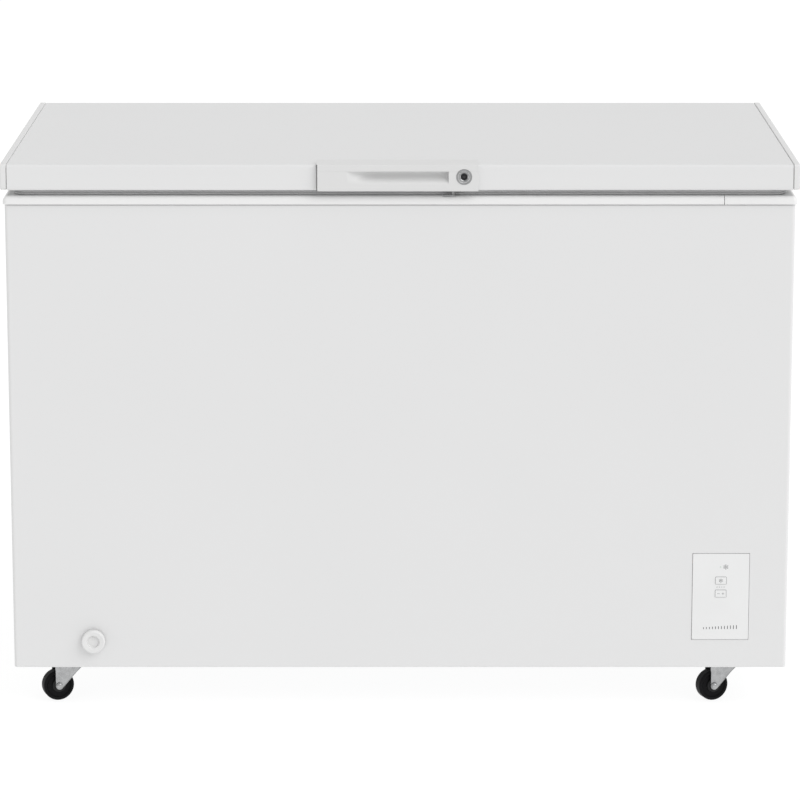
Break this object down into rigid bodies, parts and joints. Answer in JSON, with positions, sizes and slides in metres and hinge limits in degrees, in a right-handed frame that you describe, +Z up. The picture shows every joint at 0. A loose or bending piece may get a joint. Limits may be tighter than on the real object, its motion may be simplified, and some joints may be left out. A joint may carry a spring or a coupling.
{
  "type": "chest freezer",
  "caption": "White chest freezer with a hinged insulated lid, front grip and key lock, hanging wire basket, pull-out drain and swivel casters.",
  "frame": {"origin": "middle of the footprint at floor level, under the cabinet", "axes": "+Z up, -Y is the front with the grip and the control panel, +X to the right as seen from the front"},
  "size_m": [1.232, 0.716, 0.8756],
  "materials": {
    "white_paint": "smooth semi-gloss white powder paint",
    "white_plastic": "satin moulded white plastic",
    "liner_white": "satin white vacuum-formed liner",
    "foam": "rigid insulating foam",
    "gasket_grey": "soft matt magnetic door seal",
    "grey_plastic": "matt grey plastic",
    "zinc_steel": "bright zinc-plated steel",
    "copper": "drawn copper tube",
    "black_paint": "black enamel",
    "black_plastic": "matt black plastic",
    "black_rubber": "hard black rubber",
    "circuit_board": "green solder mask",
    "coated_wire": "white plastic-coated steel wire"
  },
  "bodies": {
    "cabinet": {"outer_wrapper": "white_paint", "rear_panel": "white_paint", "base_pan": "zinc_steel", "side_vent_grille": "white_plastic", "rear_vent_cover": "zinc_steel", "inner_liner": "liner_white", "collar_trim": "white_plastic", "collar_corner_trim": "white_plastic", "cabinet_foam": "foam", "bay_bulkhead": "zinc_steel", "evaporator_tube": "copper", "condenser_tube": "copper", "compressor_tray": "zinc_steel", "compressor_mount": "black_rubber", "compressor_shell": "black_paint", "start_relay_box": "black_plastic", "filter_drier": "copper", "discharge_pipe": "copper", "suction_pipe": "copper", "power_cord_gland": "black_plastic", "control_panel_bezel": "white_plastic", "control_board": "circuit_board", "temperature_sensor": "grey_plastic", "drain_tube": "white_plastic", "drain_housing": "white_plastic", "lock_keeper": "zinc_steel", "hinge_bracket_left": "zinc_steel", "hinge_spring_left": "zinc_steel", "hinge_bracket_right": "zinc_steel", "hinge_spring_right": "zinc_steel", "caster_plate_front_left": "zinc_steel", "caster_plate_front_right": "zinc_steel", "caster_plate_rear_left": "zinc_steel", "caster_plate_rear_right": "zinc_steel"},
    "lid": {"lid_skin": "white_paint", "lid_end_cap_left": "white_plastic", "lid_end_cap_right": "white_plastic", "lid_foam": "foam", "lid_liner": "liner_white", "lid_gasket": "gasket_grey", "lid_handle": "white_plastic", "lock_escutcheon": "zinc_steel", "hinge_leaf_left": "zinc_steel", "hinge_leaf_right": "zinc_steel"},
    "lock": {"lock_cylinder": "zinc_steel", "lock_cam": "zinc_steel"},
    "mode_button": {"mode_button": "white_plastic"},
    "temp_button": {"temp_button": "white_plastic"},
    "drain_spout": {"drain_spout": "white_plastic"},
    "drain_cap": {"drain_cap": "white_plastic"},
    "drain_plug": {"drain_plug": "grey_plastic"},
    "basket": {"basket": "coated_wire"},
    "caster_fork_front_left": {"caster_fork_front_left": "zinc_steel"},
    "caster_wheel_front_left": {"caster_wheel_front_left": "black_rubber"},
    "caster_fork_front_right": {"caster_fork_front_right": "zinc_steel"},
    "caster_wheel_front_right": {"caster_wheel_front_right": "black_rubber"},
    "caster_fork_rear_left": {"caster_fork_rear_left": "zinc_steel"},
    "caster_wheel_rear_left": {"caster_wheel_rear_left": "black_rubber"},
    "caster_fork_rear_right": {"caster_fork_rear_right": "zinc_steel"},
    "caster_wheel_rear_right": {"caster_wheel_rear_right": "black_rubber"}
  },
  "joints": [
    {"name": "lid_hinge", "type": "hinge", "parent": "cabinet", "child": "lid", "pos_m": [0, 0.352, 0.83], "axis": [-1, 0, 0], "range_deg": [0, 85]},
    {"name": "lock_turn", "type": "hinge", "parent": "lid", "child": "lock", "pos_m": [0.0986, -0.35, 0.8529], "axis": [0, 1, 0], "range_deg": [0, 90]},
    {"name": "mode_button_press", "type": "slide", "parent": "cabinet", "child": "mode_button", "axis": [0, 1, 0], "range_m": [0, 0.001], "stiffness_N_per_m": 900},
    {"name": "temp_button_press", "type": "slide", "parent": "cabinet", "child": "temp_button", "axis": [0, 1, 0], "range_m": [0, 0.001], "stiffness_N_per_m": 900},
    {"name": "drain_spout_pull", "type": "slide", "parent": "cabinet", "child": "drain_spout", "axis": [0, -1, 0], "range_m": [0, 0.025]},
    {"name": "drain_cap_turn", "type": "hinge", "parent": "drain_spout", "child": "drain_cap", "pos_m": [-0.484, -0.35, 0.1112], "axis": [0, 1, 0], "range_deg": [0, 180]},
    {"name": "drain_plug_lift", "type": "slide", "parent": "cabinet", "child": "drain_plug", "axis": [0, 0, 1], "range_m": [0, 0.04]},
    {"name": "basket_slide", "type": "slide", "parent": "cabinet", "child": "basket", "axis": [-1, 0, 0], "range_m": [0, 0.78]},
    {"name": "swivel_front_left", "type": "hinge", "parent": "cabinet", "child": "caster_fork_front_left", "pos_m": [-0.522, -0.285, 0.06], "axis": [0, 0, 1], "continuous": true},
    {"name": "wheel_front_left", "type": "hinge", "parent": "caster_fork_front_left", "child": "caster_wheel_front_left", "pos_m": [-0.54643, -0.29389, 0.02479], "axis": [-0.342, 0.9397, 0], "continuous": true},
    {"name": "swivel_front_right", "type": "hinge", "parent": "cabinet", "child": "caster_fork_front_right", "pos_m": [0.522, -0.285, 0.06], "axis": [0, 0, 1], "continuous": true},
    {"name": "wheel_front_right", "type": "hinge", "parent": "caster_fork_front_right", "child": "caster_wheel_front_right", "pos_m": [0.49757, -0.29389, 0.02479], "axis": [-0.342, 0.9397, 0], "continuous": true},
    {"name": "swivel_rear_left", "type": "hinge", "parent": "cabinet", "child": "caster_fork_rear_left", "pos_m": [-0.522, 0.28, 0.06], "axis": [0, 0, 1], "continuous": true},
    {"name": "wheel_rear_left", "type": "hinge", "parent": "caster_fork_rear_left", "child": "caster_wheel_rear_left", "pos_m": [-0.54643, 0.27111, 0.02479], "axis": [-0.342, 0.9397, 0], "continuous": true},
    {"name": "swivel_rear_right", "type": "hinge", "parent": "cabinet", "child": "caster_fork_rear_right", "pos_m": [0.522, 0.28, 0.06], "axis": [0, 0, 1], "continuous": true},
    {"name": "wheel_rear_right", "type": "hinge", "parent": "caster_fork_rear_right", "child": "caster_wheel_rear_right", "pos_m": [0.49757, 0.27111, 0.02479], "axis": [-0.342, 0.9397, 0], "continuous": true}
  ]
}
